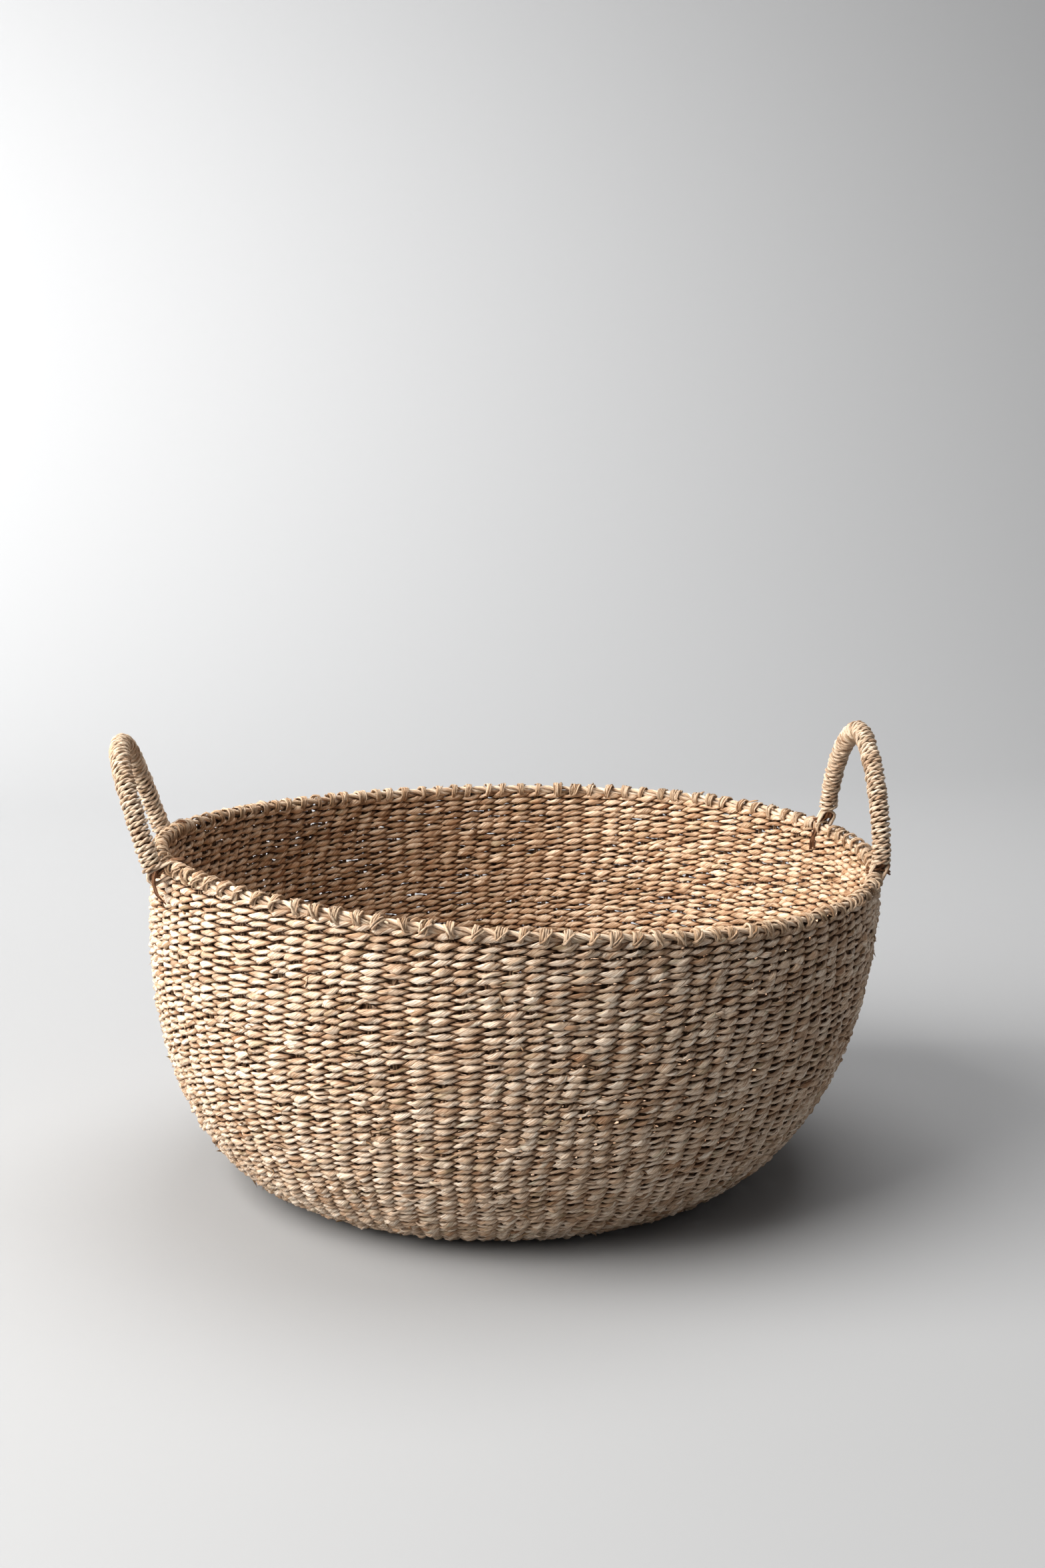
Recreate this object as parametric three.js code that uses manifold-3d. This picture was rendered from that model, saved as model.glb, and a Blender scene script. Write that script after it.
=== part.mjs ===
// A round floor basket of twined seagrass, with two wrapped handles that swing on its rim.
// Millimetres, +Z up. The origin is the middle of the base, on the floor; +X points at the right handle.
// Every woven piece is turned as a round ring, and then settled: a soft basket that has been used
// leans to one side, goes a little oval, and its rim dips where it leans and waves up and down.
import * as THREE from "three";
import { mergeVertices } from "three/addons/utils/BufferGeometryUtils.js";
import Module from "manifold-3d";

const wasm = await Module();
wasm.setup();

// ---------------------------------------------------------------- driving dimensions

const GAP = 0.3; // between pieces that lie against each other

// The weave.
const WEAVE_THICKNESS = 9;
const START_RADIUS = 30; // the first rounds, where the stakes cross
const BASE_SPLIT_RADIUS = 90; // where stakes are added in the base
const BASE_RADIUS = 150; // where the base turns up into the wall
const RIM_RADIUS = 247; // to the middle of the wall, at its top edge
const WALL_TOP = 225; // height of the wall's top edge
const BASE_SWELL = 56; // how far the wall keeps the base's direction as it turns up
const RIM_SWELL = 130; // how far below the rim the wall keeps the rim's direction
const RIM_LEAN_IN = 6; // degrees
const WALL_BANDS = 6; // of nine courses of twining each

// The rim.
const ROPE_RADIUS = 3;

// How the basket has settled, at its rim. Directions are degrees from +X towards +Y.
const LEAN = { reach: 19.5, towards: -9 };
const OVAL = { share: 0.043, towards: 24 };
const DIP = { slope: 0.046, towards: -5 };
const WAVE = { rise: 4.7, towards: 32 };

// The handles. A leg starts straight up from its foot, with its splay to the side, and keeps that
// direction over its bow; the crown is as flat as its width says.
const FOOT_SPREAD = 17; // degrees from the handle's middle to each foot
const CORE_RADIUS = 4;
const WRAP_RADIUS = 7;
const WRAP_CLEARANCE = 0.6; // round the core
const WRAP_START = 10; // along the core from its foot
const EYE_CLEARANCE = 1; // round the rim rope
const EYE_WIRE_RADIUS = 1.6;
const PEG_RADIUS = 2;
const HANDLES = [
  {
    side: "right",
    at: 0,
    height: 88.5, // above the rope, to the middle of the crown
    lean: 1.5, // degrees, out of the basket
    standOff: 4, // out from the rope: this handle's legs stand on top of it
    footLevel: 6,
    bow: 45,
    splay: -3.5,
    crown: 26,
    tails: {
      front: [[7, 7.8], [8, 14], [12, 20]],
      rear: [[6, -7.8], [18, -9.5], [32, -7.8]],
    },
  },
  {
    side: "left",
    at: 180,
    height: 79,
    lean: 17.5,
    standOff: 14, // these legs hang outside the rope
    footLevel: -4,
    bow: 60,
    splay: -3,
    crown: 50,
    tails: {
      front: [[9, 7.8], [14.5, 12], [22, 12], [31, 7.8]],
      rear: [[9.5, 7.8], [15, 12], [22, 12], [31, 7.8]],
    },
  },
];
const TAIL_RADIUS = 2.5;

// The lashing that holds each foot in place on the rope, beside the foot's eye.
const LASHING_RADIUS = 1.1;
const LASHING_CLEARANCE = 0.6;
const LASHING_OFFSET = 7; // along the rope from the foot
const NOTCH_CLEARANCE = 0.7;

// How finely the round shapes are faceted.
const RING_FACETS = 60;
const ROPE_SIDES = 8;
const ARCH_STEPS = 30;

// ---------------------------------------------------------------- sizes that follow

const ROPE_CENTRE = WALL_TOP + GAP + ROPE_RADIUS;
const HEIGHT = ROPE_CENTRE + ROPE_RADIUS;
const EYE_RADIUS = ROPE_RADIUS + EYE_CLEARANCE + EYE_WIRE_RADIUS;
const EYE_REACH = EYE_RADIUS + EYE_WIRE_RADIUS;
const LASHING_RING = ROPE_RADIUS + LASHING_CLEARANCE + LASHING_RADIUS;
const HALF_WEAVE = WEAVE_THICKNESS / 2;

const radians = THREE.MathUtils.degToRad;
const UP = new THREE.Vector3(0, 0, 1);

// The middle line of the wall, from the edge of the base up to the rim, as radius and height.
const rimDirection = new THREE.Vector2(0, 1).rotateAround(new THREE.Vector2(), radians(RIM_LEAN_IN));
const wallTop = new THREE.Vector2(RIM_RADIUS, WALL_TOP);
const WALL_LINE = new THREE.CubicBezierCurve(
  new THREE.Vector2(BASE_RADIUS, HALF_WEAVE),
  new THREE.Vector2(BASE_RADIUS + BASE_SWELL, HALF_WEAVE),
  wallTop.clone().addScaledVector(rimDirection, -RIM_SWELL),
  wallTop,
);
const WALL_LENGTH = WALL_LINE.getLength();

// ---------------------------------------------------------------- how the basket has settled

function settle(point) {
  const share = point.z / HEIGHT;
  const angle = Math.atan2(point.y, point.x);
  const radius = Math.hypot(point.x, point.y);
  const oval = 1 + share * OVAL.share * Math.cos(2 * (angle - radians(OVAL.towards)));
  const dip = DIP.slope * radius * Math.cos(angle - radians(DIP.towards));
  const wave = WAVE.rise * Math.cos(2 * (angle - radians(WAVE.towards)));
  point.x = radius * oval * Math.cos(angle) + share * LEAN.reach * Math.cos(radians(LEAN.towards));
  point.y = radius * oval * Math.sin(angle) + share * LEAN.reach * Math.sin(radians(LEAN.towards));
  point.z += share * (wave - dip);
  return point;
}

function settleGeometry(geometry) {
  const positions = geometry.getAttribute("position");
  const point = new THREE.Vector3();
  for (let i = 0; i < positions.count; i++) {
    settle(point.fromBufferAttribute(positions, i));
    positions.setXYZ(i, point.x, point.y, point.z);
  }
  return geometry;
}

function onRope(degrees) {
  const angle = radians(degrees);
  return settle(new THREE.Vector3(RIM_RADIUS * Math.cos(angle), RIM_RADIUS * Math.sin(angle), ROPE_CENTRE));
}

// A point of the wall's outline: this far along its middle line, and this far out from it.
function onOutline(along, out) {
  const share = THREE.MathUtils.clamp(along / WALL_LENGTH, 0, 1);
  const direction = WALL_LINE.getTangentAt(share);
  return WALL_LINE.getPointAt(share).add(new THREE.Vector2(direction.y, -direction.x).multiplyScalar(out));
}

// A point beside the wall, this far down from its top edge and out from its middle.
function besideWall(degrees, down, out) {
  const outline = onOutline(WALL_LENGTH - down, out);
  const angle = radians(degrees);
  return settle(new THREE.Vector3(outline.x * Math.cos(angle), outline.x * Math.sin(angle), outline.y));
}

// ---------------------------------------------------------------- shared makers

const group = new THREE.Group();
group.name = "basket";

function fibre(color) {
  return new THREE.MeshStandardMaterial({ color, roughness: 0.85, metalness: 0 });
}
const SEAGRASS = fibre(0xcdb592);
const PALE_CORD = fibre(0xd9ccb4);
const BROWN_CORE = fibre(0x9a6a41);

function addPiece(parent, name, geometry, material) {
  const mesh = new THREE.Mesh(geometry, material);
  mesh.name = name;
  parent.add(mesh);
  return mesh;
}

// A ring turned from an outline of radius and height, and settled with the basket.
function turned(outline) {
  return settleGeometry(new THREE.LatheGeometry(outline, RING_FACETS).rotateX(Math.PI / 2));
}

function polygon(radius, sides) {
  return Array.from({ length: sides }, (_, i) => {
    const angle = (2 * Math.PI * i) / sides;
    return new THREE.Vector2(radius * Math.cos(angle), radius * Math.sin(angle));
  });
}

function swept(shape, path, steps) {
  return new THREE.ExtrudeGeometry(shape, { steps, extrudePath: path });
}

function toSolid(geometry) {
  const bare = geometry.clone();
  bare.deleteAttribute("normal");
  bare.deleteAttribute("uv");
  const merged = mergeVertices(bare, 1e-3);
  const triVerts = new Uint32Array(merged.index.array);
  const vertProperties = merged.attributes.position.array;
  return new wasm.Manifold(new wasm.Mesh({ numProp: 3, vertProperties, triVerts }));
}

function toGeometry(solid) {
  const mesh = solid.getMesh();
  return new THREE.BufferGeometry()
    .setAttribute("position", new THREE.BufferAttribute(mesh.vertProperties, 3))
    .setIndex(new THREE.BufferAttribute(mesh.triVerts, 1));
}

// ---------------------------------------------------------------- the base

function addBase() {
  const start = [
    new THREE.Vector2(0, 0),
    new THREE.Vector2(START_RADIUS, 0),
    new THREE.Vector2(START_RADIUS, WEAVE_THICKNESS),
    new THREE.Vector2(0, WEAVE_THICKNESS),
  ];
  addPiece(group, "base_start", turned(start), SEAGRASS);

  const rounds = [
    ["base_weft_inner", START_RADIUS, BASE_SPLIT_RADIUS],
    ["base_weft_outer", BASE_SPLIT_RADIUS, BASE_RADIUS],
  ];
  for (const [name, inner, outer] of rounds) {
    const outline = [
      new THREE.Vector2(inner + GAP, 0),
      new THREE.Vector2(outer, 0),
      new THREE.Vector2(outer, WEAVE_THICKNESS),
      new THREE.Vector2(inner + GAP, WEAVE_THICKNESS),
      new THREE.Vector2(inner + GAP, 0),
    ];
    addPiece(group, name, turned(outline), SEAGRASS);
  }
}

// ---------------------------------------------------------------- the wall

// The closed outline of one band of courses. The lower bands bend most, so they have more steps.
function bandOutline(from, to, steps) {
  const outer = [];
  const inner = [];
  for (let i = 0; i <= steps; i++) {
    const along = THREE.MathUtils.lerp(from, to, i / steps);
    outer.push(onOutline(along, HALF_WEAVE));
    inner.unshift(onOutline(along, -HALF_WEAVE));
  }
  return [...outer, ...inner, outer[0].clone()];
}

// The local frame at a place on the rope: X out of the basket, Y along the rope, Z up.
function ropeFrame(degrees) {
  const step = 0.1;
  const along = onRope(degrees + step).sub(onRope(degrees - step)).normalize();
  const out = along.clone().cross(UP).normalize();
  const up = out.clone().cross(along);
  return new THREE.Matrix4().makeBasis(out, along, up).setPosition(onRope(degrees));
}

// The gap left in the top course for a foot's eye and its lashing.
function notch(foot) {
  const eyeSide = EYE_WIRE_RADIUS + EYE_REACH * Math.sin(radians(FOOT_SPREAD)) + NOTCH_CLEARANCE;
  const lashingSide = LASHING_OFFSET + LASHING_RADIUS + NOTCH_CLEARANCE;
  const depth = EYE_REACH + NOTCH_CLEARANCE;
  const box = new THREE.BoxGeometry(2 * WEAVE_THICKNESS, eyeSide + lashingSide, depth);
  box.translate(0, (foot.away * (lashingSide - eyeSide)) / 2, -depth / 2);
  return toSolid(box.applyMatrix4(ropeFrame(foot.degrees)));
}

function addWall(feet) {
  for (let band = 0; band < WALL_BANDS; band++) {
    const from = (band / WALL_BANDS) * WALL_LENGTH + GAP;
    const to = ((band + 1) / WALL_BANDS) * WALL_LENGTH;
    const steps = Math.max(2, 4 - band);
    let geometry = turned(bandOutline(from, to, steps));
    if (band === WALL_BANDS - 1) {
      const cut = feet.reduce((solid, foot) => solid.subtract(notch(foot)), toSolid(geometry));
      geometry = toGeometry(cut);
    }
    addPiece(group, "wall_weft_" + (band + 1), geometry, SEAGRASS);
  }
}

function addRope() {
  const outline = polygon(ROPE_RADIUS, ROPE_SIDES).map((p) => p.add(new THREE.Vector2(RIM_RADIUS, ROPE_CENTRE)));
  addPiece(group, "rim_rope", turned([...outline, outline[0].clone()]), SEAGRASS);
}

// ---------------------------------------------------------------- the handles

// The part of a curve between two shares of its length.
class Stretch extends THREE.Curve {
  constructor(whole, from, to) {
    super();
    Object.assign(this, { whole, from, to });
  }

  getPoint(share, target = new THREE.Vector3()) {
    return target.copy(this.whole.getPointAt(THREE.MathUtils.lerp(this.from, this.to, share)));
  }
}

// The line of the core, from foot to foot, in the handle's own upright plane.
function archLine(handle, halfChord) {
  const splay = radians(handle.splay);
  const point = (across, up) => new THREE.Vector3(handle.standOff, across, up);
  const foot = (side) => point(side * halfChord, handle.footLevel);
  const leg = (side) =>
    point(
      side * (halfChord + handle.bow * Math.sin(splay)),
      handle.footLevel + handle.bow * Math.cos(splay),
    );
  const shoulder = (side) => point(side * handle.crown, handle.height);
  const top = point(0, handle.height);
  const line = new THREE.CurvePath();
  line.add(new THREE.CubicBezierCurve3(foot(-1), leg(-1), shoulder(-1), top));
  line.add(new THREE.CubicBezierCurve3(top, shoulder(1), leg(1), foot(1)));
  return line;
}

// An eye round the rope, at the end of a leg; a leg that hangs outside has a peg across to it.
function eyeSolid(handle, across) {
  const eye = new THREE.TorusGeometry(EYE_RADIUS, EYE_WIRE_RADIUS, 6, 18).rotateX(Math.PI / 2);
  let solid = toSolid(eye.translate(0, across, 0));
  if (handle.standOff > EYE_REACH) {
    const reach = handle.standOff - EYE_RADIUS;
    const peg = new THREE.CylinderGeometry(PEG_RADIUS, PEG_RADIUS, reach, ROPE_SIDES).rotateZ(Math.PI / 2);
    solid = solid.add(toSolid(peg.translate(EYE_RADIUS + reach / 2, across, 0)));
  }
  return solid;
}

function addHandle(handle) {
  const front = onRope(handle.at - FOOT_SPREAD);
  const rear = onRope(handle.at + FOOT_SPREAD);
  const halfChord = front.distanceTo(rear) / 2;
  const along = rear.clone().sub(front).normalize();
  const out = along.clone().cross(UP).normalize();
  const up = out.clone().cross(along);

  const hinge = new THREE.Group();
  hinge.position.copy(front).add(rear).multiplyScalar(0.5);
  hinge.setRotationFromMatrix(new THREE.Matrix4().makeBasis(out, along, up));
  const leaned = new THREE.Group();
  leaned.rotation.y = radians(handle.lean);
  hinge.add(leaned);
  group.add(hinge);

  const line = archLine(handle, halfChord);
  const length = line.getLength();
  let core = toSolid(swept(new THREE.Shape(polygon(CORE_RADIUS, ROPE_SIDES)), line, ARCH_STEPS));
  for (const across of [-halfChord, halfChord]) core = core.add(eyeSolid(handle, across));
  addPiece(leaned, handle.side + "_handle_core", toGeometry(core), BROWN_CORE);

  const wrapShape = new THREE.Shape(polygon(WRAP_RADIUS, 12));
  wrapShape.holes.push(new THREE.Path(polygon(CORE_RADIUS + WRAP_CLEARANCE, ROPE_SIDES)));
  const wrapLine = new Stretch(line, WRAP_START / length, 1 - WRAP_START / length);
  addPiece(leaned, handle.side + "_handle_wrap", swept(wrapShape, wrapLine, ARCH_STEPS - 2), PALE_CORD);
}

// ---------------------------------------------------------------- what holds the feet

function addLashing(foot) {
  const ring = new THREE.TorusGeometry(LASHING_RING, LASHING_RADIUS, 6, 14).rotateX(Math.PI / 2);
  const offset = THREE.MathUtils.radToDeg(LASHING_OFFSET / RIM_RADIUS);
  ring.applyMatrix4(ropeFrame(foot.degrees + foot.away * offset));
  addPiece(group, foot.name + "_foot_lashing", ring, PALE_CORD);
}

// The end of the core, brought through the weave below the foot and left lying on the wall.
function addTail(foot) {
  const line = new THREE.CatmullRomCurve3(
    foot.tail.map(([down, out]) => besideWall(foot.degrees, down, out)),
  );
  const shape = new THREE.Shape(polygon(TAIL_RADIUS, 6));
  addPiece(group, foot.name + "_core_tail", swept(shape, line, 8), BROWN_CORE);
}

// A handle's feet are named by where they are for someone who stands with the left handle at the left.
function feetOf(handle) {
  const rightHanded = handle.side === "right";
  return [-1, 1].map((away) => {
    const place = (away < 0) === rightHanded ? "front" : "rear";
    return {
      away,
      degrees: handle.at + away * FOOT_SPREAD,
      name: handle.side + "_" + place,
      tail: handle.tails[place],
    };
  });
}

const feet = HANDLES.flatMap(feetOf);
addBase();
addWall(feet);
addRope();
HANDLES.forEach(addHandle);
feet.forEach(addLashing);
feet.forEach(addTail);

export default group;
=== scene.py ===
# %% [markdown]
# # A twined seagrass basket
#
# This notebook dresses a plain basket frame as the real thing: two soft cords of twisted leaf
# that twine round 108 upright stakes, row on row, a knotted rope rim, and two wrapped handles.
# The frame gives the sizes and the moving bodies. Everything here is in metres, +Z up, with the
# origin in the middle of the base on the floor and +X towards the right handle.

import math

import bmesh
import bpy
import numpy as np
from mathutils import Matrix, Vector


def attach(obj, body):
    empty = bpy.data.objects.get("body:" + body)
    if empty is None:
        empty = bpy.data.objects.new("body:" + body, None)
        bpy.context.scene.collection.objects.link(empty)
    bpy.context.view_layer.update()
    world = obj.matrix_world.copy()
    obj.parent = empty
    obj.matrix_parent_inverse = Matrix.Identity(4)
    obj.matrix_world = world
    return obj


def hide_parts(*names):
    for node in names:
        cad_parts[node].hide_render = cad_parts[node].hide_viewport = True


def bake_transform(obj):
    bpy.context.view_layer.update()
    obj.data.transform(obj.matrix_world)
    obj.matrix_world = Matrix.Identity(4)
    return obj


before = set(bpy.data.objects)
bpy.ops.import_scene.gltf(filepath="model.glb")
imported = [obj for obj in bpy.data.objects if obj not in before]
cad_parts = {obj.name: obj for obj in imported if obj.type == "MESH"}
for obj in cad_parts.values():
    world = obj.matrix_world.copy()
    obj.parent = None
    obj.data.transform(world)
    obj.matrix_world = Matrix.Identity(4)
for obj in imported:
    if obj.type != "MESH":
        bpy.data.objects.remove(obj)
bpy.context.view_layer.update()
MM = 0.001
print("frame nodes:", len(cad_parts))

# %% [markdown]
# ## Camera
#
# The basket is seen a little from above, from the front and slightly to its left, with a normal
# lens on a tall frame. The camera stands on a circle round the basket, so one angle and one
# distance place it.

# %% Camera
CAMERA_AZIMUTH = math.radians(-9.4)
CAMERA_DISTANCE = 1.528
CAMERA_HEIGHT = 0.562
CAMERA_PITCH = math.radians(79.41)
CAMERA_HEADING = math.radians(-10.13)

camera_data = bpy.data.cameras.new("camera")
camera_data.lens = 50.43
camera = bpy.data.objects.new("camera", camera_data)
bpy.context.collection.objects.link(camera)
camera.location = (
    CAMERA_DISTANCE * math.sin(CAMERA_AZIMUTH),
    -CAMERA_DISTANCE * math.cos(CAMERA_AZIMUTH),
    CAMERA_HEIGHT,
)
camera.rotation_euler = (CAMERA_PITCH, 0, CAMERA_HEADING)
bpy.context.scene.camera = camera
print("camera stands at:", [round(value, 3) for value in camera.location])

# %% [markdown]
# ## The settled shape
#
# A basket like this is soft. It was woven round, but it leans, has gone slightly oval, and its rim
# dips and waves. So every strand is first placed on a perfect round form, by its distance along
# the weave from the middle of the base, and then moved by one settling rule. That keeps the
# pieces together, whatever the shape does. The form is one Bezier line, turned round the middle.

# %% The round form
WEAVE = 9 * MM
BASE_RADIUS = 150 * MM
RIM_RADIUS = 247 * MM
WALL_TOP = 225 * MM
BASE_SWELL = 56 * MM
RIM_SWELL = 130 * MM
RIM_LEAN_IN = math.radians(6)
ROPE_RADIUS = 3 * MM
FLOOR_GAP = 2.2 * MM  # the lowest that the middle of a strand comes
ROPE_CENTRE = WALL_TOP + 0.3 * MM + ROPE_RADIUS
FORM_HEIGHT = ROPE_CENTRE + ROPE_RADIUS


def bezier(start, low, high, end, steps):
    """Points on a cubic Bezier line."""
    t = np.linspace(0, 1, steps)[:, None]
    early = (1 - t) ** 3 * start + 3 * (1 - t) ** 2 * t * low
    return early + 3 * (1 - t) * t**2 * high + t**3 * end


def wall_line():
    """The middle line of the wall as radius and height, from the base up to the rim."""
    start = np.array([BASE_RADIUS, WEAVE / 2])
    end = np.array([RIM_RADIUS, WALL_TOP])
    low = start + [BASE_SWELL, 0]
    high = end - RIM_SWELL * np.array([-math.sin(RIM_LEAN_IN), math.cos(RIM_LEAN_IN)])
    return bezier(start, low, high, end, 600)


WALL_LINE = wall_line()
WALL_RUN = np.r_[0, np.cumsum(np.hypot(*np.diff(WALL_LINE, axis=0).T))]
WALL_LENGTH = WALL_RUN[-1]
FULL_RUN = BASE_RADIUS + WALL_LENGTH


def on_form(run, out):
    """Radius, height and slope of the weave at a distance run along it, and out from its middle."""
    along = np.clip(run - BASE_RADIUS, 0, WALL_LENGTH)
    radius = np.interp(along, WALL_RUN, WALL_LINE[:, 0])
    height = np.interp(along, WALL_RUN, WALL_LINE[:, 1])
    slope_r = np.interp(along, WALL_RUN, np.gradient(WALL_LINE[:, 0], WALL_RUN))
    slope_z = np.interp(along, WALL_RUN, np.gradient(WALL_LINE[:, 1], WALL_RUN))
    over = run - BASE_RADIUS - along
    radius = radius + over * slope_r + out * slope_z
    height = np.maximum(height + over * slope_z - out * slope_r, FLOOR_GAP)
    return radius, height, np.arctan2(slope_z, slope_r)


print("wall length mm:", round(WALL_LENGTH / MM, 1))

# %% [markdown]
# ## How it settles
#
# The base stays flat, and all the settling grows with the height: the section gets more oval, the
# rim dips to one side and waves, and the whole wall leans. The rule is also worked backwards, to
# ask how far any point lies out from the middle of the weave. The leaf material uses that depth
# to paint shade into the middle of the weave.

# %% Settling
OVAL = 0.043  # share of the radius, at the rim
OVAL_TOWARD = math.radians(24)
DIP = 0.046  # share of the radius that the rim falls on one side
DIP_TOWARD = math.radians(-5)
WAVE = 4.7 * MM
WAVE_TOWARD = math.radians(32)
LEAN = 19.5 * MM
LEAN_TOWARD = math.radians(-9)
LEAN_LINE = LEAN * np.array([math.cos(LEAN_TOWARD), math.sin(LEAN_TOWARD)])


def oval(share, angle):
    return 1 + share * OVAL * np.cos(2 * (angle - OVAL_TOWARD))


def rise(radius, angle):
    dip = DIP * radius * np.cos(angle - DIP_TOWARD)
    wave = WAVE * np.cos(2 * (angle - WAVE_TOWARD))
    return wave - dip


def settle(radius, angle, height):
    """Points of the round form, moved to where they are on the settled basket."""
    share = height / FORM_HEIGHT
    stretched = radius * oval(share, angle)
    x = stretched * np.cos(angle) + share * LEAN_LINE[0]
    y = stretched * np.sin(angle) + share * LEAN_LINE[1]
    return np.stack([x, y, height + share * rise(radius, angle)], axis=-1)


def on_weave(run, angle, out):
    """Settled points at a distance along the weave, an angle, and out from its middle."""
    radius, height, _ = on_form(run, out)
    return settle(radius, angle, height)


SETTLE_ROUNDS = 4  # each round of the guess comes closer
RUN_ROUNDS = 6


def out_of_weave(points):
    """How far settled points lie out from the middle of the weave; the inside is negative."""
    height = points[:, 2].copy()
    for _ in range(SETTLE_ROUNDS):
        share = height / FORM_HEIGHT
        x = points[:, 0] - share * LEAN_LINE[0]
        y = points[:, 1] - share * LEAN_LINE[1]
        angle = np.arctan2(y, x)
        radius = np.hypot(x, y) / oval(share, angle)
        height = points[:, 2] - share * rise(radius, angle)
    run = radius + height
    for _ in range(RUN_ROUNDS):
        middle_r, middle_z, slope = on_form(run, 0)
        run = run + (radius - middle_r) * np.cos(slope) + (height - middle_z) * np.sin(slope)
    return (radius - middle_r) * np.sin(slope) - (height - middle_z) * np.cos(slope)


rim_height = on_weave(FULL_RUN, np.linspace(0, 2 * math.pi, 73), 0)[:, 2] / MM
print("rim height mm, lowest and highest:", rim_height.min().round(), rim_height.max().round())

# %% [markdown]
# ## Strands
#
# Every strand on the basket is a long thin thing with a shaped section: a folded leaf, a round
# cord, a flat tip. A Blender curve with a bevel object makes exactly that, and its points carry a
# radius and a tilt, so a strand can swell and twist. The section is a small flat curve of its own.

# %% Sections
def section(name, outline):
    """A closed section for strands, from points in millimetres given clockwise."""
    curve = bpy.data.curves.new(name, "CURVE")
    curve.dimensions = "2D"
    spline = curve.splines.new("POLY")
    spline.points.add(len(outline) - 1)
    for point, (x, y) in zip(spline.points, outline):
        point.co = (x * MM, y * MM, 0, 1)
    spline.use_cyclic_u = True
    obj = bpy.data.objects.new(name, curve)
    bpy.context.collection.objects.link(obj)
    return obj


def round_section(name, radius, sides):
    turns = [-2 * math.pi * i / sides for i in range(sides)]
    return section(name, [(radius * math.cos(a), radius * math.sin(a)) for a in turns])


# %% [markdown]
# ### From curve to mesh
#
# The curve is turned into a mesh, its open ends are closed, and its UV map is rescaled: U runs
# along the strand in metres, with a different start for each strand, and V goes once round it. The
# materials read that map, so that no two strands show the same stretch of leaf.

# %% Strands
STRAND_START = 0.37  # metres between the UV starts of two strands


def strands(name, shape, paths, closed, twist="Z_UP"):
    """One mesh of many strands. A path is points, radius and tilt arrays of one length."""
    curve = bpy.data.curves.new(name, "CURVE")
    curve.dimensions = "3D"
    curve.twist_mode = twist
    curve.bevel_mode = "OBJECT"
    curve.bevel_object = shape
    for points, radius, tilt in paths:
        spline = curve.splines.new("POLY")
        spline.points.add(len(points) - 1)
        spline.points.foreach_set("co", np.c_[points, np.ones(len(points))].ravel())
        spline.points.foreach_set("radius", np.broadcast_to(radius, len(points)).astype(np.float32))
        spline.points.foreach_set("tilt", np.broadcast_to(tilt, len(points)).astype(np.float32))
        spline.use_cyclic_u = closed
    source = bpy.data.objects.new(name + "_line", curve)
    bpy.context.collection.objects.link(source)
    mesh = bpy.data.meshes.new_from_object(source.evaluated_get(bpy.context.evaluated_depsgraph_get()))
    mesh.name = name
    rescale_uv(mesh, shape, paths, closed)
    bpy.data.objects.remove(source)
    bpy.data.curves.remove(curve)
    if not closed:
        close_ends(mesh)
    mesh.polygons.foreach_set("use_smooth", np.ones(len(mesh.polygons), bool))
    obj = bpy.data.objects.new(name, mesh)
    bpy.context.collection.objects.link(obj)
    print(name, "strands", len(paths), "faces", len(mesh.polygons))
    return obj


def rescale_uv(mesh, shape, paths, closed):
    sides = len(shape.data.splines[0].points)
    owner = np.repeat(np.arange(len(paths)), [len(p[0]) * sides for p in paths])
    lengths = []
    for points, _, _ in paths:
        ring = np.vstack([points, points[:1]]) if closed else points
        lengths.append(np.linalg.norm(np.diff(ring, axis=0), axis=1).sum())
    corner = np.zeros(len(mesh.loops), np.int32)
    mesh.loops.foreach_get("vertex_index", corner)
    uv = np.zeros(len(mesh.loops) * 2, np.float32)
    layer = mesh.uv_layers[0]
    layer.uv.foreach_get("vector", uv)
    uv = uv.reshape(-1, 2)
    strand = owner[np.clip(corner, 0, len(owner) - 1)]
    uv[:, 0] = uv[:, 0] * np.array(lengths)[strand] + strand * STRAND_START
    layer.uv.foreach_set("vector", uv.ravel())


def close_ends(mesh):
    work = bmesh.new()
    work.from_mesh(mesh)
    bmesh.ops.holes_fill(work, edges=[e for e in work.edges if e.is_boundary], sides=0)
    work.to_mesh(mesh)
    work.free()


# %% [markdown]
# ### Ripples, depth and finish
#
# Three small helpers serve every piece. One gives a smooth unevenness that drifts from row to row,
# one stores each point's depth in the weave as an attribute, and one gives a piece its material
# and its body and hides the frame's nodes that it stands for.

# %% Ripples, depth and finish
def ripple(angle, row, waves, seed, spread):
    """A smooth unevenness round the basket that drifts from row to row, about -1 to 1."""
    source = np.random.default_rng(seed)
    total = np.zeros(np.broadcast(angle, row).shape)
    for _ in range(waves):
        turns = source.integers(1, spread)
        total = total + np.sin(turns * angle + source.uniform(-0.5, 0.5) * row + source.uniform(0, 6.28))
    return total / math.sqrt(waves)


def mark_depth(mesh):
    """Store how far each point is out of the middle of the weave, for the painted shade in the leaf."""
    points = np.zeros(len(mesh.vertices) * 3, np.float32)
    mesh.vertices.foreach_get("co", points)
    out = out_of_weave(points.reshape(-1, 3).astype(float)).astype(np.float32)
    mesh.attributes.new("out", "FLOAT", "POINT").data.foreach_set("value", out)


def finish_piece(obj, body, material, nodes=()):
    """Give a piece its material and its body. nodes: the frame's nodes that it stands for."""
    obj.data.materials.clear()
    obj.data.materials.append(material)
    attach(obj, body)
    if nodes:
        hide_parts(*nodes)
    return obj
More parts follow.
